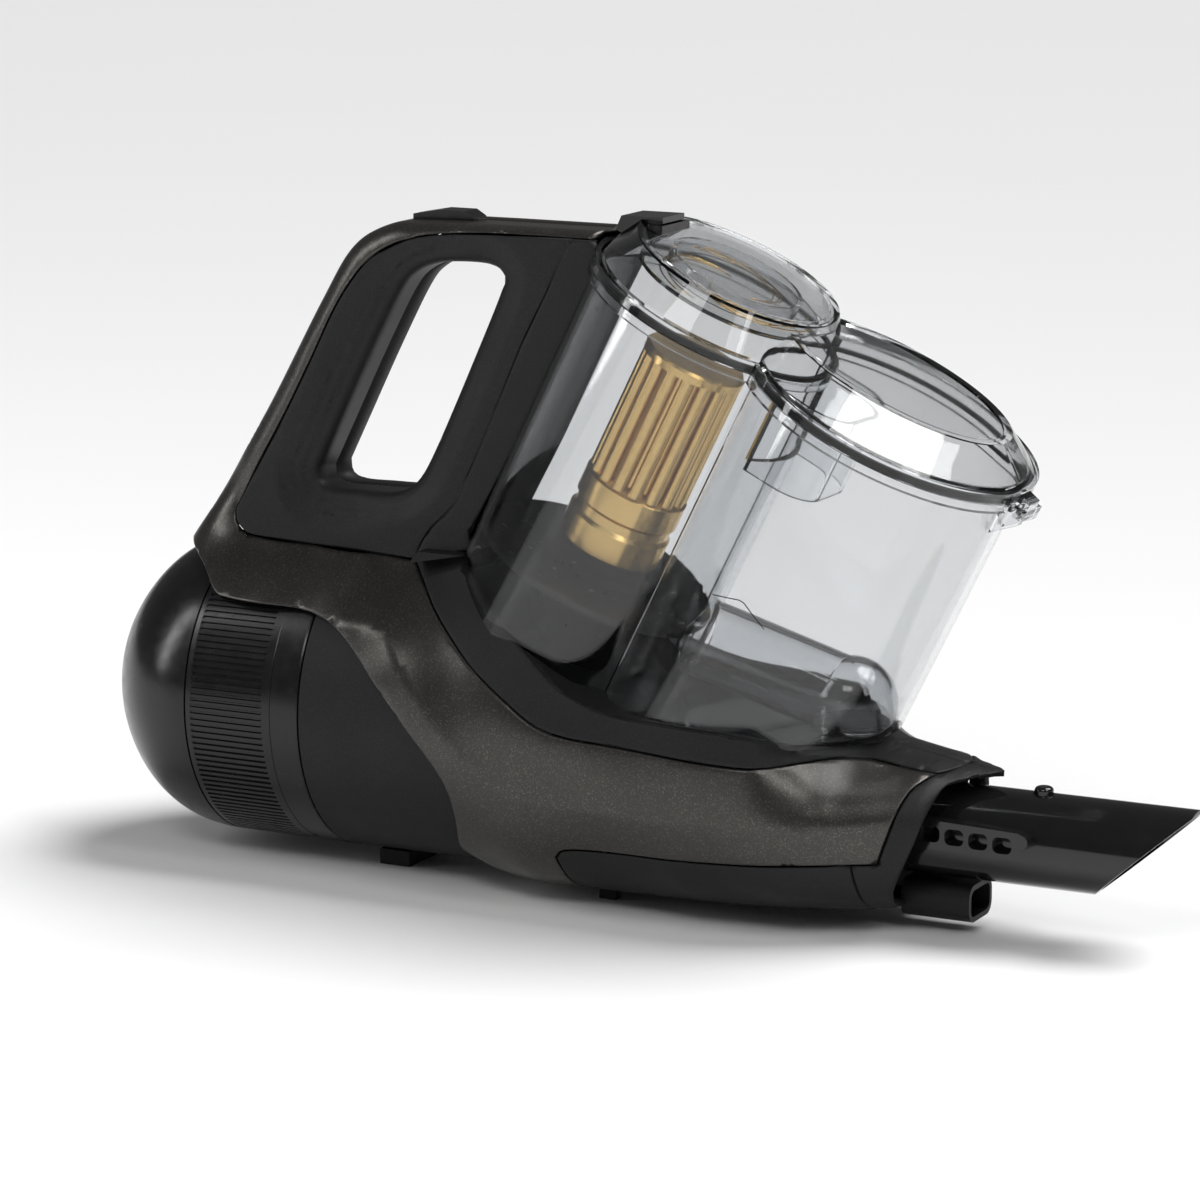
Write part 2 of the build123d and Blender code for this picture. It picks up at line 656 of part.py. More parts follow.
save(outlet_seal.part - bucket_above - (Pos(0, 0, -1.2) * bucket_above), "outlet_seal")
with BuildPart() as foam:
    with BuildSketch(Plane.YZ.offset(-76)):
        with Locations((0, motor_z)):
            Circle(15.8)
    extrude(amount=6)
save(foam.part, "motor_filter_foam")

# ---- battery, control board, switch ----
cell_places = [(-30 + 19 * step, 20) for step in range(4)] + [(-20.5 + 19 * step, 37) for step in range(3)]
with BuildPart() as cells:
    with BuildSketch(Plane.XZ.offset(-32.5)):
        with Locations(*cell_places):
            Circle(9.1)
    extrude(amount=65)
save(cells.part, "battery_cells")
with BuildPart() as holder:
    for y in (-30, 26):
        with BuildSketch(Plane.XZ.offset(y)):
            with Locations((-1.5, 28.5)):
                RectangleRounded(80, 38, 4)
            with Locations(*cell_places):
                Circle(9.2, mode=Mode.SUBTRACT)
        extrude(amount=4)
save(holder.part, "battery_holder")
with BuildPart() as strips:
    with BuildSketch(Plane.XZ.offset(32.6), Plane.XZ.offset(-33)):
        with Locations((-1.5, 20)):
            Rectangle(64, 7)
        with Locations((-1.5, 37)):
            Rectangle(45, 7)
    extrude(amount=0.3)
save(strips.part, "cell_strips")
with BuildPart() as board:
    with Locations((8, 0, 52)):
        Box(64, 54, 1.6)
    with Locations((-10, -12, 55), (-10, 12, 55), (24, 0, 54.4)):
        Box(12, 9, 4.5)
    with Locations((8, -20, 55.5), (8, 20, 55.5)):
        Cylinder(3.5, 6)
save(board.part, "control_board")
with BuildPart() as power_button:
    with BuildSketch(Plane.XZ) as button_profile:
        with BuildLine():
            Polyline((-95, 249), (-95, 252.4), (-84, 254.4), (-73, 254.4), (-69, 252), (-69, 249), close=True)
        make_face()
    extrude(amount=5, both=True)
    with BuildSketch(Plane.XY.offset(245.6)):
        with Locations((-82, 0)):
            Circle(1.8)
    extrude(amount=4)
save(power_button.part, "power_button")
save(Part() + Pos(-82, 0, 241.4) * Box(12, 6, 4), "power_switch")


def spring(x, y, low, high, radius, wire, turns):
    """A coil spring standing on z = low."""
    height = high - low - wire
    with BuildPart() as coil:
        with BuildLine() as path:
            Helix(pitch=height / turns, height=height, radius=radius, center=(x, y, low + wire / 2))
        with BuildSketch(Plane(origin=path.line @ 0, z_dir=path.line % 0)):
            Circle(wire / 2)
        sweep(path=path.line, is_frenet=True)
    return coil.part


save(spring(-82, 0, 243.5, 248.9, 2.9, 0.5, 4), "power_button_spring")
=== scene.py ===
"""Looks of a cordless handheld vacuum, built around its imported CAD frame. Metres, +X to the nozzle, +Z up."""

import math

import bmesh
import bpy
import numpy as np
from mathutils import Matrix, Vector
from mathutils.geometry import delaunay_2d_cdt


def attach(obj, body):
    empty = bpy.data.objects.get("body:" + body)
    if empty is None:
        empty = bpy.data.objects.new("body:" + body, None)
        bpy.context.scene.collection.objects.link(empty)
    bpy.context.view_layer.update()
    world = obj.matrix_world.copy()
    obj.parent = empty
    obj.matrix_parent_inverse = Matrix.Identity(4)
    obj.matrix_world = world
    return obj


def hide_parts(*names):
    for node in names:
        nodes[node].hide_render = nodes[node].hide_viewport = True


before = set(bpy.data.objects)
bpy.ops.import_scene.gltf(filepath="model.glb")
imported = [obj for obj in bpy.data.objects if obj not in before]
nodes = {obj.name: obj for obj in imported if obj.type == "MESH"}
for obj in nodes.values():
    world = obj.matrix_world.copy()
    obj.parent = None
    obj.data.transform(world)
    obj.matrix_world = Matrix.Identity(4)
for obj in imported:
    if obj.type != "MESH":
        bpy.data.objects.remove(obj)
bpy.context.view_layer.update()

MM = 0.001


# ---------------------------------------------------------------- shaders


class Shader:
    """A procedural material: textures in the row frame, wired to one Principled surface."""

    def __init__(self, name, colour, roughness, **surface):
        self.material = bpy.data.materials.new(name)
        self.material.use_nodes = True
        self.tree = self.material.node_tree
        self.surface = self.tree.nodes["Principled BSDF"]
        self.surface.inputs["Base Color"].default_value = (*colour, 1)
        self.surface.inputs["Roughness"].default_value = roughness
        for socket, value in surface.items():
            self.surface.inputs[socket.replace("_", " ")].default_value = value
        self.place = self.node("ShaderNodeTexCoord").outputs["Object"]
        self.height = None

    def node(self, kind, **settings):
        made = self.tree.nodes.new(kind)
        for name, value in settings.items():
            setattr(made, name, value)
        return made

    def wire(self, start, end):
        self.tree.links.new(start, end)

    def stretched(self, scale):
        """The row frame's coordinates times scale along each axis, for brushed or drawn marks."""
        mapping = self.node("ShaderNodeMapping")
        mapping.inputs["Scale"].default_value = scale
        self.wire(self.place, mapping.inputs["Vector"])
        return mapping.outputs["Vector"]

    def noise(self, size, detail=2.0, stretch=None):
        """Noise whose features are about size metres across."""
        noise = self.node("ShaderNodeTexNoise")
        noise.inputs["Scale"].default_value = 1 / size
        noise.inputs["Detail"].default_value = detail
        self.wire(self.stretched(stretch) if stretch else self.place, noise.inputs["Vector"])
        return noise.outputs["Fac"]

    def cells(self, size):
        """A random value for each cell about size metres across."""
        cells = self.node("ShaderNodeTexVoronoi")
        cells.inputs["Scale"].default_value = 1 / size
        self.wire(self.place, cells.inputs["Vector"])
        return cells.outputs["Color"]

    def remap(self, value, low, high, start=0.0, end=1.0):
        ranged = self.node("ShaderNodeMapRange")
        for name, number in (("From Min", low), ("From Max", high), ("To Min", start), ("To Max", end)):
            ranged.inputs[name].default_value = number
        self.wire(value, ranged.inputs["Value"])
        return ranged.outputs["Result"]

    def mixed(self, factor, dark, light):
        """A colour between dark and light, which are colours or the outputs of other nodes."""
        mix = self.node("ShaderNodeMix", data_type="RGBA")
        self.wire(factor, mix.inputs["Factor"])
        for socket, colour in ((mix.inputs[6], dark), (mix.inputs[7], light)):
            if isinstance(colour, tuple):
                socket.default_value = (*colour, 1)
            else:
                self.wire(colour, socket)
        return mix.outputs[2]

    def colours(self, output):
        self.wire(output, self.surface.inputs["Base Color"])

    def roughens(self, factor, smooth, rough):
        self.wire(self.remap(factor, 0.3, 0.7, smooth, rough), self.surface.inputs["Roughness"])

    def bumps(self, height, depth, strength=1.0):
        """Raises the surface by up to depth metres, on top of any earlier bump."""
        bump = self.node("ShaderNodeBump")
        bump.inputs["Distance"].default_value = depth
        bump.inputs["Strength"].default_value = strength
        self.wire(height, bump.inputs["Height"])
        if self.height:
            self.wire(self.height, bump.inputs["Normal"])
        self.height = bump.outputs["Normal"]
        self.wire(self.height, self.surface.inputs["Normal"])


def graphite_lacquer():
    """Satin graphite lacquer with a fine metal flake."""
    s = Shader("graphite_lacquer", (0.05, 0.047, 0.043), 0.33, Metallic=0.75, Coat_Weight=0.1)
    s.surface.inputs["Coat Roughness"].default_value = 0.25
    flake = s.remap(s.cells(0.35 * MM), 0.5, 1.0)
    cloud = s.noise(40 * MM, 3)
    base = s.mixed(cloud, (0.042, 0.0395, 0.0365), (0.06, 0.0565, 0.052))
    s.colours(s.mixed(s.remap(flake, 0.4, 1.0, 0.0, 0.55), base, (0.22, 0.205, 0.185)))
    s.roughens(s.noise(9 * MM, 4), 0.3, 0.36)
    s.bumps(s.noise(0.5 * MM, 2), 0.02 * MM, 0.5)
    return s.material


def grained_plastic():
    """Near-black moulded plastic with a sparkling leather-fine grain."""
    dark, light = (0.006, 0.006, 0.0063), (0.015, 0.0148, 0.0148)
    s = Shader("grained_plastic", dark, 0.5, Specular_IOR_Level=0.26)
    grain = s.noise(0.55 * MM, 3)
    cloud = s.noise(30 * MM, 2)
    base = s.mixed(cloud, dark, tuple(1.25 * c for c in dark))
    s.colours(s.mixed(s.remap(grain, 0.45, 0.75), base, light))
    s.roughens(cloud, 0.5, 0.6)
    s.bumps(grain, 0.09 * MM, 0.8)
    s.bumps(s.cells(0.9 * MM), 0.03 * MM, 0.5)
    return s.material


def gloss_black():
    """Polished black plastic with faint handling marks."""
    s = Shader("gloss_black", (0.006, 0.006, 0.0065), 0.12, Specular_IOR_Level=0.5)
    s.colours(s.mixed(s.noise(25 * MM, 3), (0.005, 0.005, 0.0055), (0.009, 0.009, 0.0095)))
    s.roughens(s.noise(6 * MM, 5), 0.08, 0.17)
    s.bumps(s.noise(4 * MM, 1), 0.006 * MM, 0.4)
    return s.material


def satin_black():
    """Smooth black plastic, half way to gloss."""
    s = Shader("satin_black", (0.005, 0.005, 0.0053), 0.24, Specular_IOR_Level=0.36)
    s.colours(s.mixed(s.noise(30 * MM, 3), (0.004, 0.004, 0.0043), (0.008, 0.0078, 0.0078)))
    s.roughens(s.noise(5 * MM, 4), 0.2, 0.28)
    s.bumps(s.noise(0.7 * MM, 2), 0.012 * MM, 0.5)
    return s.material


def clear_plastic():
    """Clear, faintly smoked plastic, with a light haze and moulding waves."""
    tint = (0.8, 0.81, 0.82)
    s = Shader("clear_plastic", tint, 0.03, Transmission_Weight=1.0, IOR=1.42)
    s.colours(s.mixed(s.noise(60 * MM, 2), tint, tuple(1.06 * c for c in tint)))
    s.roughens(s.noise(12 * MM, 4), 0.018, 0.048)
    s.bumps(s.noise(30 * MM, 1), 0.01 * MM, 0.2)
    return s.material


def gold_anodised():
    """Gold anodised metal, faintly clouded, with a satin sheen."""
    s = Shader("gold_anodised", (0.62, 0.42, 0.16), 0.3, Metallic=1.0)
    s.colours(s.mixed(s.noise(22 * MM, 2), (0.56, 0.37, 0.13), (0.7, 0.49, 0.21)))
    s.roughens(s.noise(9 * MM, 3), 0.2, 0.27)
    s.bumps(s.noise(0.4 * MM, 2), 0.004 * MM, 0.4)
    return s.material


def rubber():
    """Matt black rubber, slightly dusty."""
    s = Shader("rubber", (0.012, 0.012, 0.012), 0.75, Specular_IOR_Level=0.3)
    s.colours(s.mixed(s.noise(4 * MM, 4), (0.01, 0.01, 0.01), (0.02, 0.02, 0.019)))
    s.roughens(s.noise(2 * MM, 3), 0.68, 0.85)
    s.bumps(s.noise(0.6 * MM, 3), 0.06 * MM, 0.7)
    return s.material


def foam(name, dark, light, cell):
    """Open filter foam or felt, pitted at the size of its cells."""
    s = Shader(name, light, 0.9)
    pores = s.cells(cell)
    s.colours(s.mixed(pores, dark, light))
    s.roughens(s.noise(3 * MM, 3), 0.85, 0.97)
    s.bumps(pores, 0.4 * cell, 0.8)
    return s.material


def metal(name, dark, light, rough, stretch=(1, 1, 8)):
    """Machined or drawn metal, brushed across stretch."""
    s = Shader(name, light, rough, Metallic=1.0)
    brushed = s.noise(2 * MM, 4, stretch=stretch)
    s.colours(s.mixed(brushed, dark, light))
    s.roughens(brushed, rough * 0.8, rough * 1.3)
    s.bumps(brushed, 0.02 * MM, 0.6)
    return s.material


def moulded(name, dark, light, rough):
    """Plain moulded inner plastic with a spark-eroded texture."""
    s = Shader(name, dark, rough, Specular_IOR_Level=0.4)
    s.colours(s.mixed(s.noise(7 * MM, 4), dark, light))
    s.roughens(s.noise(3 * MM, 3), rough * 0.85, rough * 1.15)
    s.bumps(s.noise(0.5 * MM, 2), 0.04 * MM, 0.6)
    return s.material


graphite = graphite_lacquer()
grained = grained_plastic()
satin = satin_black()
gold = gold_anodised()

MATERIALS = {
    graphite: ["right_graphite_shell", "left_graphite_shell"],
    grained: [
        "right_handle_panel", "left_handle_panel", "right_column_cover", "left_column_cover",
        "bucket_cradle", "base_pan", "front_bezel", "motor_housing", "connector_housing", "tube_socket",
    ],
    satin: ["rear_dome", "vent_collar", "outlet_duct", "latch_housing", "power_button"],
    gloss_black(): [
        "inlet_tube", "nozzle_tip", "tube_catch", "right_window_frame", "left_window_frame",
        "release_button",
    ],
    clear_plastic(): ["bucket", "lid", "dust_chute", "inlet_duct", "swirl_disc"],
    gold: ["vortex_finder"],
    rubber(): [
        "front_feet", "rear_foot_pad", "inlet_seal", "outlet_seal", "lid_gasket", "front_motor_mount",
    ],
    foam("felt_filter", (0.32, 0.33, 0.33), (0.6, 0.61, 0.6), 0.5 * MM): ["exhaust_filter"],
    foam("open_foam", (0.04, 0.04, 0.045), (0.16, 0.16, 0.17), 1.2 * MM): ["motor_filter_foam"],
    moulded("inner_plastic", (0.02, 0.02, 0.022), (0.04, 0.04, 0.043), 0.5): [
        "inlet_elbow", "intake_duct", "fan_shroud", "diffuser", "impeller", "battery_holder",
        "power_switch", "inlet_flap",
    ],
    metal("drawn_steel", (0.4, 0.4, 0.41), (0.62, 0.62, 0.63), 0.3): [
        "motor_can", "motor_bearings", "rotor_shaft", "lid_hinge_pin", "handle_screws",
        "tube_catch_spring", "power_button_spring", "stator_core", "rotor_magnet",
        "front_bearing_bridge",
    ],
    metal("copper_wire", (0.45, 0.19, 0.09), (0.74, 0.37, 0.2), 0.32, (8, 1, 1)): ["stator_windings"],
    metal("brass_pin", (0.6, 0.43, 0.17), (0.8, 0.62, 0.3), 0.25): ["connector_pins"],
    metal("nickel_strip", (0.5, 0.48, 0.44), (0.68, 0.66, 0.62), 0.3, (1, 8, 1)): ["cell_strips"],
    moulded("cell_wrap", (0.03, 0.12, 0.14), (0.05, 0.18, 0.2), 0.3): ["battery_cells"],
    moulded("board_lacquer", (0.01, 0.07, 0.03), (0.02, 0.12, 0.05), 0.35): ["control_board"],
}

for material, names in MATERIALS.items():
    for name in names:
        mesh = nodes[name].data
        mesh.materials.clear()
        mesh.materials.append(material)

# ---------------------------------------------------------------- moulded shells


RUN_STEP = 2.5
MESH_STEP = 2.6
SEAM_GAP = 0.2
SEAM_ROUND = 0.9
SEAM_INSETS = (0.25, 0.55, 1.0)
TURN_ANGLES = (14, 27, 40, 52, 64, 77, 90)
CREASE_ROOM = 1.2


def smooth(points, step=RUN_STEP):
    """A rounded run through the points, with a point about every step."""
    p = [np.array(q, float) for q in points]
    p = [2 * p[0] - p[1], *p, 2 * p[-1] - p[-2]]
    run = []
    for a, b, c, d in zip(p, p[1:], p[2:], p[3:]):
        count = max(1, round(np.linalg.norm(c - b) / step))
        for t in np.arange(count) / count:
            run.append(0.5 * (2 * b + (c - a) * t + (2 * a - 5 * b + 4 * c - d) * t**2
                              + (3 * b - a - 3 * c + d) * t**3))
    run.append(p[-2])
    return [tuple(q) for q in run]


def straight(points):
    """A run of straight pieces through the points, with a point about every RUN_STEP."""
    run = []
    for b, c in zip(points, points[1:]):
        b, c = np.array(b, float), np.array(c, float)
        count = max(1, round(np.linalg.norm(c - b) / RUN_STEP))
        run += [tuple(b + (c - b) * t) for t in np.arange(count) / count]
    run.append(tuple(points[-1]))
    return run


def behind(run, limit):
    """The points of a run whose x is under limit."""
    return [q for q in run if q[0] < limit]


class Skin:
    """Half the machine's width over its side view: a thin plate bent through the given (x, z, y)."""

    def __init__(self, points):
        data = np.array(points, float)
        self.at = data[:, :2]
        count = len(data)
        system = np.zeros((count + 3, count + 3))
        system[:count, :count] = self.kernel(self.at)
        system[:count, count] = 1
        system[:count, count + 1:] = self.at
        system[count:, :count] = system[:count, count:].T
        self.weights = np.linalg.solve(system, np.r_[data[:, 2], 0, 0, 0])

    def kernel(self, places):
        apart = np.linalg.norm(places[:, None] - self.at[None], axis=2)
        return apart**2 * np.log(apart + 1e-6)

    def __call__(self, places):
        return self.kernel(places) @ self.weights[:-3] + self.weights[-3] + places @ self.weights[-2:]


def inside(places, loop):
    """Which places lie inside a closed loop."""
    a, b = loop, np.roll(loop, -1, axis=0)
    x, z = places[:, :1], places[:, 1:]
    crosses = (a[:, 1] > z) != (b[:, 1] > z)
    rise = np.where(b[:, 1] == a[:, 1], 1e-9, b[:, 1] - a[:, 1])
    reach = a[:, 0] + (z - a[:, 1]) * (b[:, 0] - a[:, 0]) / rise
    return (crosses & (x < reach)).sum(axis=1) % 2 == 1


def distance(places, starts, ends):
    """How far each place is from the nearest of the pieces of line."""
    nearest = np.full(len(places), 1e3)
    for a, b in zip(starts, ends):
        run = b - a
        t = np.clip(((places - a) @ run) / max(run @ run, 1e-9), 0, 1)
        nearest = np.minimum(nearest, np.linalg.norm(places - a - t[:, None] * run, axis=1))
    return nearest


def rounded_off(half, d, radius):
    """Half widths brought in towards an edge that is d away, as a quarter round of that radius."""
    r = np.minimum(radius, 0.92 * half)
    return half - np.where(d < r, r - np.sqrt(np.maximum(r * r - (r - d) ** 2, 0)), 0)


def clockwise(triangle):
    """Whether a triangle's corners go round clockwise."""
    (ax, az), (bx, bz), (cx, cz) = triangle
    return (bx - ax) * (cz - az) - (bz - az) * (cx - ax) < 0


def turns_left(loop):
    """Whether a closed loop goes round anticlockwise."""
    ahead = np.roll(loop, -1, axis=0)
    return np.sum(loop[:, 0] * ahead[:, 1] - loop[:, 1] * ahead[:, 0]) > 0


def joined(runs):
    """The runs as one loop that goes round anticlockwise, and the radius of each of its pieces of line."""
    loop, turns = [], []
    for points, radius in runs:
        loop += points[:-1]
        turns += [radius] * (len(points) - 1)
    loop, turns = np.array(loop, float), np.array(turns, float)
    if turns_left(loop):
        return loop, turns
    return loop[::-1], np.roll(turns[::-1], -1)


def inward_of(loop):
    """The direction into the shell at each point of a loop that has the shell on its left."""
    ahead = np.roll(loop, -1, axis=0) - np.roll(loop, 1, axis=0)
    inward = np.stack([-ahead[:, 1], ahead[:, 0]], axis=1)
    return inward / (np.linalg.norm(inward, axis=1)[:, None] + 1e-9)


def rows(low, high):
    """Places in even triangles between two corners, each with the room it needs from the rim."""
    for row, z in enumerate(np.arange(low[1], high[1], MESH_STEP * 0.87)):
        for x in np.arange(low[0] + (row % 2) * MESH_STEP / 2, high[0], MESH_STEP):
            yield np.array((x, z)), MESH_STEP * 0.55


def side_mesh(runs, width, hole=None, hole_round=4.0, rings=(), creases=()):
    """The right half of a moulded shell, as points in millimetres and polygons.

    runs go round its side view as (points, radius). Radius 0 is a seam: the shell stops at a neighbour,
    with a softened edge and a thin gap. Any other radius rounds the shell off there and takes it on to the
    middle plane, as round the hole, which is a closed loop. width gives the half width at a place. rings are
    distances from the hole, and creases are runs along which the mesh has edges.
    """
    loops = [joined(runs)]
    if hole is not None:
        ring = np.array(hole[:-1], float)
        if turns_left(ring):
            ring = ring[::-1]
        loops.append((ring, np.full(len(ring), float(hole_round))))
    rim, edges, edge_turns, wanted = [], [], [], []
    for line, radii in loops:
        inward = inward_of(line)
        radius = np.maximum(radii, np.roll(radii, 1))
        line = line + inward * np.where(radius == 0, SEAM_GAP, 0.0)[:, None]
        first = len(rim)
        rim += list(line)
        edges += [(first + i, first + (i + 1) % len(line)) for i in range(len(line))]
        edge_turns += list(radii)
        turned = [1 - math.cos(math.radians(a)) for a in TURN_ANGLES]
        for place, across, r in zip(line, inward, radius):
            insets = [r * t for t in turned] if r else SEAM_INSETS
            wanted += [(place + across * d, 0.85 * d) for d in [*insets, *(rings if first else ())]]
    rim, edge_turns = np.array(rim), np.array(edge_turns)
    starts, ends = rim[[e[0] for e in edges]], rim[[e[1] for e in edges]]
    wanted += rows(rim.min(axis=0), rim.max(axis=0))
    for crease in creases:
        wanted += [(np.array(q), SEAM_ROUND) for q in crease]
    places, room = (np.array(column) for column in zip(*wanted))

    def within(points):
        good = inside(points, loops[0][0])
        if hole is not None:
            good &= ~inside(points, loops[1][0])
        return good

    keep = within(places) & (distance(places, starts, ends) > room)
    for crease in creases:
        line = np.array(crease)
        off = distance(places, line[:-1], line[1:])
        keep &= (off < 1e-6) | (off > CREASE_ROOM)
    flat, _, faces, origins, _, _ = delaunay_2d_cdt(
        [Vector(q) for q in (*rim, *places[keep])], edges, [], 0, 1e-5)
    flat = np.array([tuple(v) for v in flat])
    faces = np.array([f[::-1] if clockwise(flat[list(f)]) else f for f in faces])
    faces = faces[within(flat[faces].mean(axis=1))]
    half = width(flat)
    for radius in sorted(set(edge_turns)):
        here = edge_turns == radius
        half = rounded_off(half, distance(flat, starts[here], ends[here]), radius or SEAM_ROUND)
    verts = [(x, -y, z) for (x, z), y in zip(flat, half)]
    polygons = [tuple(int(v) for v in f) for f in faces]
    find = {old: new for new, olds in enumerate(origins) for old in olds}
    middle = {}
    for (a, b), radius in zip(edges, edge_turns):
        if not radius:
            continue
        a, b = find[a], find[b]
        for v in (a, b):
            if v not in middle:
                middle[v] = len(verts)
                verts.append((flat[v][0], 0.0, flat[v][1]))
        polygons.append((b, a, middle[a], middle[b]))
    return np.array(verts), polygons


def without_loose(mesh, weld=0.0):
    """Cleans a mesh of points that no face uses, and welds points nearer than weld millimetres."""
    work = bmesh.new()
    work.from_mesh(mesh)
    if weld:
        bmesh.ops.remove_doubles(work, verts=work.verts, dist=weld * MM)
    bmesh.ops.delete(work, geom=[v for v in work.verts if not v.link_faces], context="VERTS")
    work.to_mesh(mesh)
    work.free()


def placed(name, data):
    """A new object in the scene."""
    made = bpy.data.objects.new(name, data)
    bpy.context.scene.collection.objects.link(made)
    return made


def shell(name, body, material, slot, stands_for, runs, width, thick=2.2, **shape):
    """A moulded shell on both sides of the machine, made by side_mesh and mirrored.

    stands_for lists the CAD nodes that the right and the left piece replace.
    """
    verts, near = side_mesh(runs, width, **shape)
    pieces = []
    for side, sign in (("right", 1), ("left", -1)):
        mesh = bpy.data.meshes.new(f"{side}_{name}")
        polygons = near if sign > 0 else [f[::-1] for f in near]
        mesh.from_pydata([(x * MM, sign * y * MM, z * MM) for x, y, z in verts], [], polygons)
        mesh.validate()
        without_loose(mesh)
        mesh.shade_smooth()
        mesh.materials.append(material)
        piece = placed(f"{side}_{name}", mesh)
        wall = piece.modifiers.new("wall", "SOLIDIFY")
        wall.thickness, wall.offset, wall.use_even_offset = thick * MM, -1, False
        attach(piece, body)
        pieces.append(piece)
    for piece, hidden in zip(pieces, stands_for):
        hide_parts(*hidden)


def solid(runs, width):
    """A closed body on both sides of the middle plane, every run of it rounded off."""
    verts, near = side_mesh(runs, width)
    far = [tuple(v + len(verts) for v in f[::-1]) for f in near]
    mesh = bpy.data.meshes.new("solid")
    mesh.from_pydata((np.r_[verts, verts * (1, -1, 1)] * MM).tolist(), [], near + far)
    without_loose(mesh, weld=0.02)
    return placed("solid", mesh)


def trimmed(node, name, keep):
    """A copy of a CAD node with only what lies inside the body keep, which is used up."""
    mesh = nodes[node].data.copy()
    without_loose(mesh, weld=0.001)
    piece = placed(name, mesh)
    cut = piece.modifiers.new("cut", "BOOLEAN")
    cut.operation, cut.object, cut.solver = "INTERSECT", keep, "EXACT"
    bpy.context.view_layer.update()
    done = bpy.data.meshes.new_from_object(piece.evaluated_get(bpy.context.evaluated_depsgraph_get()))
    piece.modifiers.clear()
    piece.data = done
    bpy.data.objects.remove(keep)
    done.name = name
    return piece


# Side outlines, in millimetres as (x, z), and half widths as (x, z, y).
SPINE = smooth([
    (-190, 122.7), (-177, 142.7), (-155, 176.7), (-131, 218.7), (-117, 240), (-101, 249), (-85, 250.7),
    (-60, 251),
]) + straight([(-60, 251), (-11.5, 251)])[1:]
STRIP_SEAM = smooth([
    (-13, 248), (-50, 248), (-69, 247.3), (-83, 246), (-94, 243), (-105, 237), (-113, 229), (-122, 216),
    (-133, 195), (-145, 173), (-158, 151), (-166.5, 136),
])
PANEL_FOOT = smooth([
    (-166.5, 136), (-166, 131.5), (-162, 127.5), (-156, 126), (-131, 125), (-103, 124), (-85, 123),
])
COLUMN_SEAM = smooth([
    (-85, 123), (-84, 128), (-80, 135), (-70, 145), (-64, 157), (-55, 176), (-41, 208), (-30, 229),
    (-21, 248),
])
COLUMN_FRONT = straight([
    (-10, 248), (-9, 238), (-24, 209), (-44, 169), (-58, 144), (-63, 135), (-61.5, 128.6),
])
COLUMN_FOOT = straight([(-61.5, 128.6), (-85, 123)])
LIP_SEAM = smooth([
    (-85, 123), (-76, 116), (-64, 106), (-44, 91.4), (-28, 81.3), (-14.4, 73.5), (-1.4, 70.5), (20, 69),
    (48, 67), (73, 66), (86, 66.4), (97, 65.9), (105, 64.8), (113, 63.5), (121, 62.4), (126.8, 61.7),
])
LIP_TOP = smooth([
    (-61.5, 128.6), (-57, 123.6), (-46, 115), (-32.5, 105), (-19.5, 95.7), (-9, 88.2), (4, 82.8),
    (17, 79.8), (37, 78.8), (62, 77.6), (74, 75), (85, 71.6), (95, 69.4), (104, 68.2),
])
SADDLE_EDGE = smooth([
    (-190, 122.7), (-186, 121), (-178, 118), (-169, 113.2), (-162, 107.8), (-154, 106), (-126, 105),
    (-117, 104.2), (-109.5, 102), (-100, 96.5), (-85.4, 83), (-68, 65), (-57.4, 53), (-53.5, 46),
    (-52, 39), (-52.5, 31), (-56, 19.5), (-57, 13),
])
CREASE = smooth([
    (-109.5, 102), (-95, 101.4), (-82, 99), (-75, 91), (-61, 74.5), (-48, 60.5), (-34, 50.5), (-21, 45.5),
    (-5, 44), (20, 44), (75, 44.5), (118, 45),
])
HULL_FOOT = smooth([(-57, 13), (-45, 7.5), (-28, 5), (-9.4, 5)])
PAN_SEAM = smooth([(-9.4, 23), (-7, 25.6), (-2, 27), (12, 27.6), (43.6, 28.4), (81.6, 30.2), (112.5, 30.7)])
PAN_FOOT = smooth([(-9.4, 5), (42, 6), (80, 7.5), (104, 8.2)])
BEZEL_SEAM = smooth([(112.5, 30.7), (117.5, 45), (120.5, 54.6), (122.5, 58.6), (126.8, 61.7)])
LIP_END = smooth([(126.8, 61.7), (129.5, 62), (132, 62.8)])
LIP_NOSE = smooth([(104, 68.2), (107.6, 67.2), (117.5, 65.2), (132, 62.8)])
BEZEL_TOP = smooth([(132, 62.8), (138.8, 62.2), (146.5, 61.6)])
BEZEL_FRONT = smooth([
    (146.5, 61.6), (143, 60.6), (137, 59.8), (132, 58.6), (130, 54.5), (127.5, 45.2), (124, 36.5),
    (118, 24), (114.5, 16.3), (112.3, 9),
])
FINGER_HOLE = smooth([
    (-133, 153), (-125, 169), (-110, 199), (-97, 223), (-90, 231), (-81, 235), (-70, 236.3), (-58, 236),
    (-52.4, 233), (-53, 227), (-65, 200), (-79, 170), (-87, 155), (-93, 149), (-101, 146.3), (-114, 146),
    (-126, 146), (-132, 148), (-133, 153),
], step=2.0)

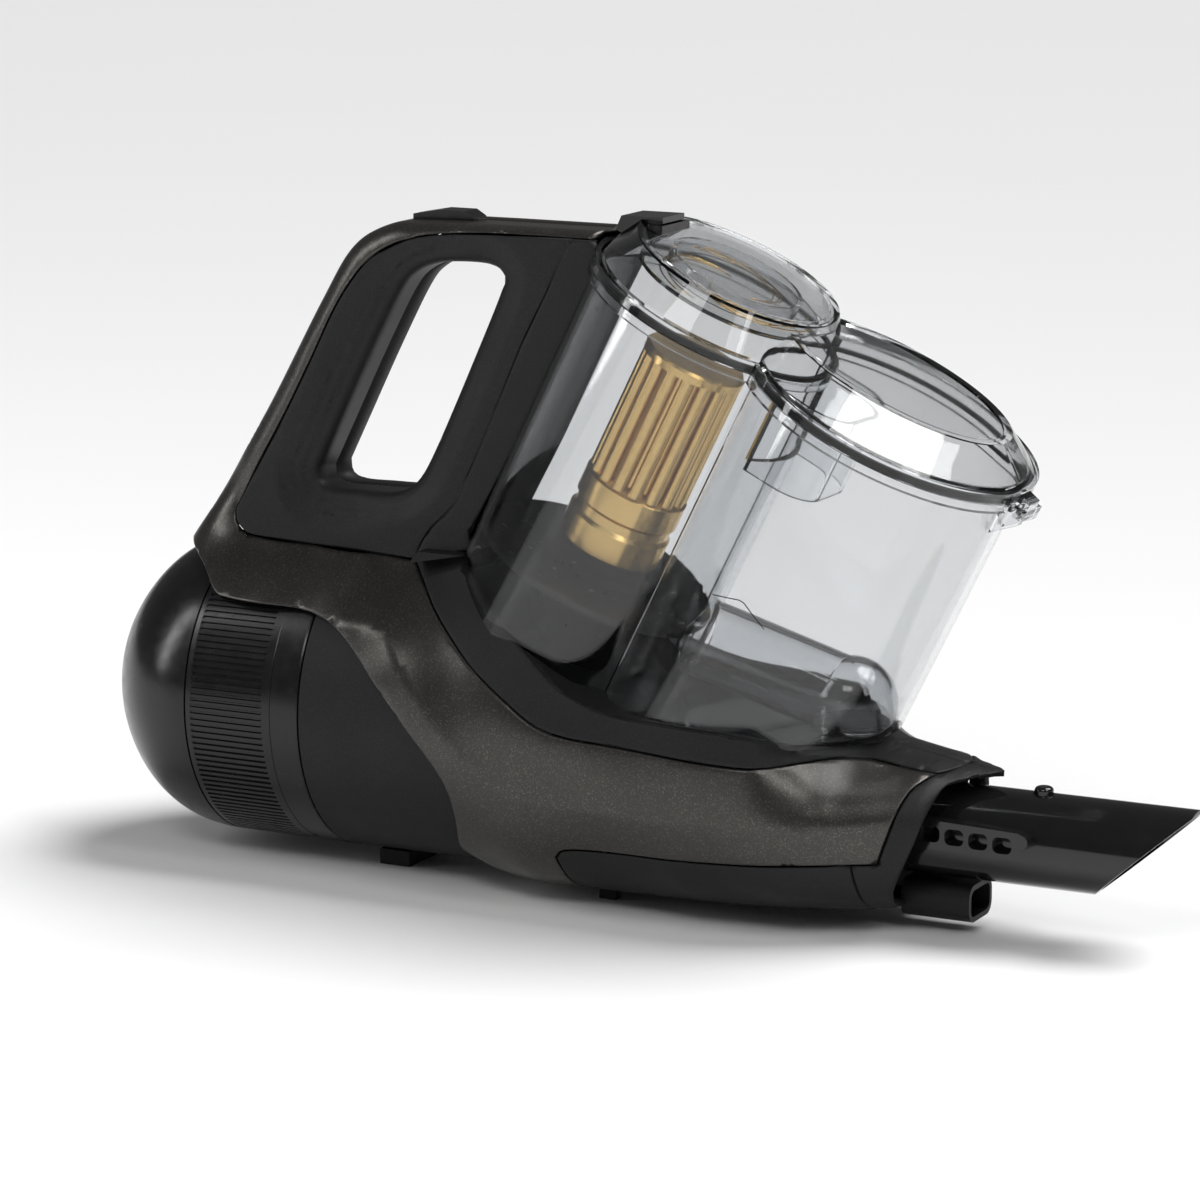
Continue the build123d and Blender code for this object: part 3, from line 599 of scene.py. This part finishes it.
HANDLE_WIDTHS = [(x, z, 19.5) for x, z in (
    (-22, 248), (-60, 248), (-105, 238), (-135, 192), (-158, 152), (-60, 172), (-40, 210), (-100, 140),
    (-140, 140), (-80, 142),
)] + [
    (-186, 127, 19), (-166, 130, 21), (-157, 126, 22), (-131, 125, 22.5), (-103, 124, 22.5), (-85, 123, 24),
]
SADDLE_WIDTHS = [
    (-186, 121, 22), (-178, 118, 30), (-169, 113.2, 38.5), (-160, 107, 45.6), (-126, 105, 47.2),
    (-117, 104.2, 48), (-140, 115, 37.6), (-112, 114, 38.6), (-170, 118, 31.6), (-140, 120, 30),
    (-110, 119.5, 31),
]
CREASE_WIDTHS = [
    (-109.5, 102, 49.6), (-95, 101.4, 51.2), (-82, 99, 53.6), (-75, 91, 57.2), (-61, 74.5, 60.6),
    (-48, 60.5, 62), (-34, 50.5, 62), (-21, 45.5, 62), (-5, 44, 62), (20, 44, 62), (50, 44.2, 61.6),
    (75, 44.5, 59.5), (95, 44.7, 51.5), (110, 45, 42), (118, 45, 36.8),
]
LIP_WIDTHS = [
    (-76, 116, 33), (-64, 106, 43.5), (-44, 91.4, 55), (-28, 81.3, 59.3), (-14.4, 73.5, 61),
    (0, 70.3, 61.2), (48, 67, 60.8), (73, 66, 57.8), (94, 67.6, 49.5), (-61.5, 128.6, 25),
    (-46, 115, 38.5), (-32.5, 105, 46.5), (-9, 88.2, 55), (17, 79.8, 57.6), (65, 77.8, 57),
    (83, 76.9, 52.5),
]
FOOT_WIDTHS = [
    (-100, 96.5, 52.4), (-85.4, 83, 57.6), (-68, 65, 60.8), (-57.4, 53, 60.6), (-52, 39, 57),
    (-52.5, 31, 52.8), (-56, 19.5, 43.4), (-57, 13, 37), (-45, 8, 35), (-28, 5, 34), (-9.4, 5, 34),
    (-25, 15, 48.5), (-9.4, 23, 54), (43, 28.4, 57), (81.6, 30.2, 53.5), (103, 30.4, 42.5),
    (112.5, 30.7, 37.2), (42, 6, 34), (80, 7.5, 31), (104, 8.2, 24), (112.3, 9, 19), (42, 16, 49),
    (80, 17, 46), (104, 18, 34), (114.5, 16.3, 27), (118, 24, 31), (124, 36.5, 33), (127.5, 45, 33.5),
]
NOSE_TOPS = np.array([
    (60, 73), (85, 71), (100, 69), (107.6, 67.3), (117.5, 65.3), (129, 63.4), (138.8, 62.4), (148, 61.8),
]).T
NOSE_SIDES = np.array([
    (75, 59.5), (95, 51.5), (110, 42), (118, 36.8), (127.5, 33), (130, 28.5), (137, 22), (143, 14),
    (148, 3),
]).T
NOSE_ROUNDNESS = np.array([(85, 0.5), (100, 0.68), (121, 0.43)]).T
NOSE_FLOOR = 45
NOSE_START, NOSE_BLEND = 68, 30
WIDEST = 62.2
upper_skin = Skin(HANDLE_WIDTHS + SADDLE_WIDTHS + CREASE_WIDTHS + LIP_WIDTHS)
lower_skin = Skin(CREASE_WIDTHS + FOOT_WIDTHS)
crease_x, crease_z = np.array(CREASE).T


def nose_width(places):
    """The half width of the nose, which narrows forward and slopes down from its middle to both sides."""
    x, z = places.T
    top = np.interp(x, *NOSE_TOPS)
    rise = np.clip((z - NOSE_FLOOR) / (top - NOSE_FLOOR), 0, 1)
    return np.interp(x, *NOSE_SIDES) * (1 - rise**2) ** np.interp(x, *NOSE_ROUNDNESS)


def hull_width(places):
    """The half width of the body: two rounded skins that meet in the crease along its side, and the nose."""
    below = places[:, 1] < np.interp(places[:, 0], crease_x, crease_z, left=-1e3)
    front = np.clip((places[:, 0] - NOSE_START) / NOSE_BLEND, 0, 1)
    front = front * front * (3 - 2 * front)
    above = (1 - front) * upper_skin(places) + front * nose_width(places)
    return np.minimum(np.where(below, lower_skin(places), above), WIDEST)


RIDGES = (13.5, 9.5, 5.5)
RIDGE_HEIGHT = 1.35


def panel_width(places):
    """The flat handle side, stepped down in three ridges towards the finger hole's back and top."""
    x, z = places.T
    loop = np.array(FINGER_HOLE)
    d = distance(places, loop[:-1], loop[1:])
    middle = np.interp(z, (146, 236), (-108, -72))
    back = np.clip((middle - x) / 16 + 0.5, 0, 1)
    stairs = sum(np.clip((edge - d) / 1.1 + 0.5, 0, 1) for edge in RIDGES) * RIDGE_HEIGHT
    slope = np.clip((11.5 - d) / 9, 0, 1) * 3.6
    base = np.interp(z, (123, 134, 150), (23.0, 20.4, 19.5))
    return base - back * stairs - (1 - back) * slope


def column_width(places):
    """The flat column between the handle and the bucket, wider at its foot."""
    return np.interp(places[:, 1], (123, 134, 150), (24.4, 21.2, 20.3)) + 0 * places[:, 0]


GRAIN = "dark_grained_plastic"
STRIP_END = straight([(-11.5, 251), (-13, 248)])
PAN_BACK = straight([(-9.4, 23), (-9.4, 5)])
PAN_FRONT = straight([(104, 30.6), (104, 8.2)])
CHIN = straight([(112.3, 9), (104, 8.2)])

shell("graphite_cover", "main_body", graphite, "graphite_shell",
      (["right_graphite_shell", "handle_screws"], ["left_graphite_shell"]),
      [(SPINE, 9), (STRIP_END, 0), (STRIP_SEAM, 0), (PANEL_FOOT, 0), (LIP_SEAM, 0), (BEZEL_SEAM[::-1], 0),
       (PAN_SEAM[::-1], 0), (PAN_BACK, 0), (HULL_FOOT[::-1], 9), (SADDLE_EDGE[::-1], 0)],
      hull_width, thick=1.1, creases=[CREASE[1:-1]])
shell("handle_side", "main_body", grained, GRAIN, (["right_handle_panel"], ["left_handle_panel"]),
      [(STRIP_SEAM, 0), (PANEL_FOOT, 0), (COLUMN_SEAM, 0), (straight([(-21, 248), (-13, 248)]), 0)],
      panel_width, hole=FINGER_HOLE, hole_round=4.5, rings=(5, 6, 9, 10, 13, 14))
shell("column_side", "main_body", grained, GRAIN, (),
      [(COLUMN_SEAM, 0), (straight([(-21, 248), (-10, 248)]), 0), (COLUMN_FRONT, 0), (COLUMN_FOOT, 0)],
      column_width)
shell("cradle_lip", "main_body", grained, GRAIN, (),
      [(LIP_SEAM, 0), (LIP_END, 0), (LIP_NOSE[::-1], 0.6), (LIP_TOP[::-1], 0), (COLUMN_FOOT, 0)], hull_width)
core = solid([(LIP_TOP, 1.5), (straight([(104, 68.2), (104, 8.2)]), 3), (PAN_FOOT[::-1], 3),
              (HULL_FOOT[::-1], 3), (straight([(-57, 13), (-90, 60), (-90, 126), (-61.5, 128.6)]), 3)],
             lambda places: np.maximum(hull_width(places) - 1.2, 1.5))
seat = trimmed("bucket_cradle", "cradle_seat", core)
seat.data.materials.clear()
seat.data.materials.append(grained)
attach(seat, "main_body")
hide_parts("bucket_cradle")
shell("base_side", "main_body", grained, GRAIN, (["base_pan"], []),
      [(straight([(-9.4, 5), (-9.4, 23)]), 0), (behind(PAN_SEAM, 103.5), 0), (PAN_FRONT, 0),
       (PAN_FOOT[::-1], 9)], hull_width)
shell("bezel_side", "main_body", grained, GRAIN, (["front_bezel"], []),
      [(BEZEL_SEAM, 0), (LIP_END, 0), (BEZEL_TOP, 0.6), (BEZEL_FRONT, 0), (CHIN, 9),
       (straight([(104, 8.2), (104, 30.6)]), 0), (straight([(104, 30.6), (112.5, 30.7)]), 0)], hull_width)


# ---------------------------------------------------------------- rear cover


MOTOR_Z = 64.3
RIBS, RIB_DEPTH, POINTS_PER_RIB, GROOVE_POINTS = 150, 0.75, 8, 3
COLLAR_RINGS = [
    (-166.8, 56.5, 0), (-166.8, 58.6, 0), (-166.3, 59.2, 0), (-164.4, 59.3, 0), (-163.8, 59.3, RIB_DEPTH),
    (-133.0, 59.3, RIB_DEPTH), (-132.4, 59.3, 0), (-129.2, 59.3, 0), (-128.9, 59.0, 0), (-128.6, 59.3, 0),
    (-117.5, 59.3, 0), (-116.9, 59.1, 0), (-116.7, 58.6, 0), (-116.7, 56.5, 0), (-166.8, 56.5, 0),
]


def ribbed_collar():
    """The collar round the motor's axis: rings of (x, radius, depth of the grooves between the ribs)."""
    count = RIBS * POINTS_PER_RIB
    verts, faces = [], []
    for x, radius, depth in COLLAR_RINGS:
        for i in range(count):
            turn = 2 * math.pi * i / count
            r = radius - (depth if i % POINTS_PER_RIB < GROOVE_POINTS else 0)
            verts.append((x * MM, r * math.sin(turn) * MM, (MOTOR_Z + r * math.cos(turn)) * MM))
    for ring in range(len(COLLAR_RINGS) - 1):
        a, b = ring * count, (ring + 1) * count
        for i in range(count):
            j = (i + 1) % count
            faces.append((a + i, a + j, b + j, b + i))
    mesh = bpy.data.meshes.new("ribbed_collar")
    mesh.from_pydata(verts, [], faces)
    mesh.materials.append(satin)
    collar = placed("ribbed_collar", mesh)
    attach(collar, "rear_cover")
    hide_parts("vent_collar")


ribbed_collar()


# ---------------------------------------------------------------- trim on the lid and the bucket


BUCKET_FOOT = np.array((33, 0, 53))
LEAN = math.radians(26.5)
FORWARD = np.array((math.cos(LEAN), 0, -math.sin(LEAN)))
LEFT = np.array((0, 1, 0))
ALONG = np.array((math.sin(LEAN), 0, math.cos(LEAN)))


def in_bucket(u, v, h):
    """A place in the bucket's leaning frame: forward, left and up along its axis."""
    return BUCKET_FOOT + u * FORWARD + v * LEFT + h * ALONG


def wire(name, points, radius, material, body):
    """A fine round bead through points, in millimetres."""
    curve = bpy.data.curves.new(name, "CURVE")
    curve.dimensions = "3D"
    curve.bevel_depth, curve.bevel_resolution, curve.use_fill_caps = radius * MM, 3, True
    line = curve.splines.new("POLY")
    line.points.add(len(points) - 1)
    for point, place in zip(line.points, points):
        point.co = (*(c * MM for c in place), 1)
    curve.materials.append(material)
    piece = placed(name, curve)
    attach(piece, body)


DISC_U, DISC_H = -77.5, 160.7
SWIRL_ARMS = 3
SWIRL_LAYERS = ((9, 31, 150), (14, 33, 120), (19, 30, 80))


def swirl_lines():
    """Gold lines that spiral out on the disc in the lid: each layer is (inner, outer radius, degrees)."""
    for arm in range(SWIRL_ARMS):
        for layer, (inner, outer, sweep) in enumerate(SWIRL_LAYERS):
            points = []
            for t in np.linspace(0, 1, 40):
                turn = math.radians(360 / SWIRL_ARMS * arm + 18 * layer + sweep * t)
                r = inner + (outer - inner) * t**0.8
                points.append(in_bucket(DISC_U + r * math.cos(turn), r * math.sin(turn), DISC_H))
            wire(f"swirl_line_{arm + 1}_{layer + 1}", points, 0.22, gold, "bucket_lid")


BUCKET_RADIUS = 54.1
MARK_TURNS, MARK_HEIGHTS = (-0.28, -0.06, 0.16), (76, 81, 76)


def fill_mark():
    """The roof-shaped mark for the highest filling, on the near side of the bucket."""
    points = []
    for turn in np.linspace(MARK_TURNS[0], MARK_TURNS[-1], 12):
        height = np.interp(turn, MARK_TURNS, MARK_HEIGHTS)
        points.append(in_bucket(BUCKET_RADIUS * math.sin(turn), -BUCKET_RADIUS * math.cos(turn), height))
    wire("fill_mark", points, 0.2, grained, "dust_bucket")


swirl_lines()
fill_mark()


# ---------------------------------------------------------------- stage


def pale_floor():
    """A wide pale floor under the machine."""
    half = 30.0
    mesh = bpy.data.meshes.new("floor")
    corners = [(-half, -half, 0), (half, -half, 0), (half, half, 0), (-half, half, 0)]
    mesh.from_pydata(corners, [], [(0, 1, 2, 3)])
    floor = placed("floor", mesh)
    s = Shader("floor_paint", (0.8, 0.8, 0.8), 0.55, Specular_IOR_Level=0.2)
    s.colours(s.mixed(s.noise(0.5, 2), (0.86, 0.86, 0.86), (0.88, 0.88, 0.88)))
    mesh.materials.append(s.material)


def soft_light(name, place, aim, size, power):
    """A rectangular light, aimed at a place."""
    light = bpy.data.lights.new(name, "AREA")
    light.shape = "RECTANGLE"
    light.size, light.size_y = size
    light.energy = power
    lamp = placed(name, light)
    lamp.location = place
    lamp.rotation_euler = (Vector(aim) - Vector(place)).to_track_quat("-Z", "Y").to_euler()


def studio():
    """A broad soft light from above in a dim room, so that the pale floor is what the sides mirror."""
    world = bpy.data.worlds.new("dim_room")
    world.use_nodes = True
    world.node_tree.nodes["Background"].inputs["Color"].default_value = (1, 1, 1, 1)
    world.node_tree.nodes["Background"].inputs["Strength"].default_value = 0.1
    bpy.context.scene.world = world
    sky = bpy.data.lights.new("broad_light", "SUN")
    sky.energy, sky.angle = 3.3, math.radians(38)
    lamp = placed("broad_light", sky)
    lamp.rotation_euler = Vector((-0.42, -0.38, -1)).to_track_quat("-Z", "Y").to_euler()
    middle = (0, 0, 0.12)
    soft_light("left_strip", (-1.4, -0.9, 0.9), middle, (0.25, 1.3), 9)
    soft_light("front_box", (0.25, -1.6, 1.5), (0.05, 0, 0.05), (0.9, 0.5), 9)
    soft_light("right_strip", (1.1, -0.5, 1.0), (0.1, 0, 0.1), (0.3, 0.9), 5)
    bpy.context.scene.view_settings.view_transform = "Standard"


def camera():
    """A long lens at the right front, a little above the machine, aimed at its middle."""
    azimuth, elevation = math.radians(27), math.radians(11.5)
    back = Vector((
        math.sin(azimuth) * math.cos(elevation),
        -math.cos(azimuth) * math.cos(elevation),
        math.sin(elevation),
    ))
    aim = Vector((-18.4, 0, 109.6)) * MM
    reach = 1.698
    lens = bpy.data.cameras.new("camera")
    lens.lens, lens.sensor_width = 135, 36
    lens.clip_start, lens.clip_end = 0.05, 100
    eye = placed("camera", lens)
    eye.location = aim + reach * back
    eye.rotation_euler = (-back).to_track_quat("-Z", "Y").to_euler()
    bpy.context.scene.camera = eye


camera()
pale_floor()
studio()
